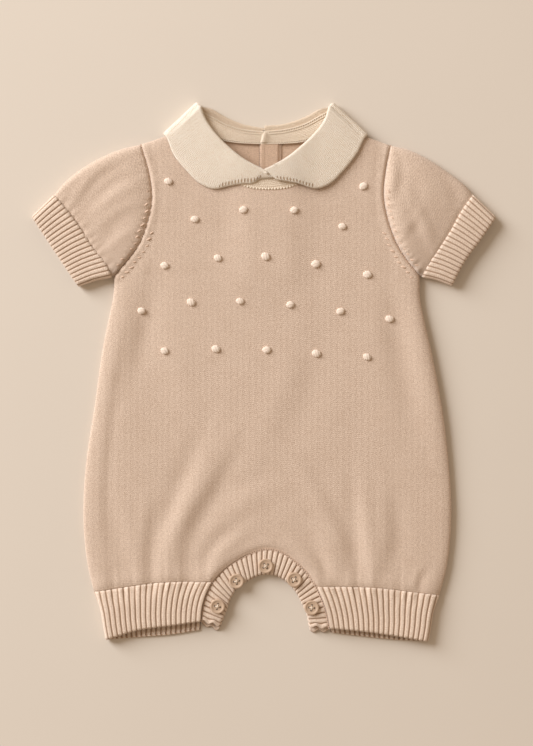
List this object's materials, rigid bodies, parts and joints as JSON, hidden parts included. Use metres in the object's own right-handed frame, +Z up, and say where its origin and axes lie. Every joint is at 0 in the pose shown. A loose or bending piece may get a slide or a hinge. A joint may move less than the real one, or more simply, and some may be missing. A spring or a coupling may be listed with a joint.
{
  "type": "baby romper",
  "caption": "Short-sleeved knitted baby romper laid flat: round collar, ribbed cuffs, buttoned crotch band, buttoned back opening.",
  "frame": {"origin": "on the surface the garment lies on, under the middle of its outline", "axes": "+Y from the hems to the neck, +Z up out of the front of the garment, +X to the viewer's right when the front is seen from above"},
  "size_m": [0.361, 0.4191, 0.0107],
  "materials": {
    "body_knit": "matte fine stocking-stitch knit",
    "rib_knit": "matte ribbed knit",
    "cream_knit": "matte fine knit, cream",
    "button": "satin, four holes"
  },
  "bodies": {
    "root": {"back_button_1": "button", "back_button_2": "button", "back_button_3": "button", "back_panel": "body_knit", "button_1": "button", "button_2": "button", "button_3": "button", "button_4": "button", "button_5": "button", "collar_left": "cream_knit", "collar_right": "cream_knit", "crotch_band_back": "rib_knit", "crotch_band_front": "rib_knit", "cuff_left": "rib_knit", "cuff_right": "rib_knit", "front_panel": "body_knit", "leg_cuff_left": "rib_knit", "leg_cuff_right": "rib_knit", "neckband": "cream_knit", "placket_inner": "rib_knit", "placket_outer": "rib_knit", "sleeve_left": "body_knit", "sleeve_right": "body_knit"}
  },
  "joints": []
}
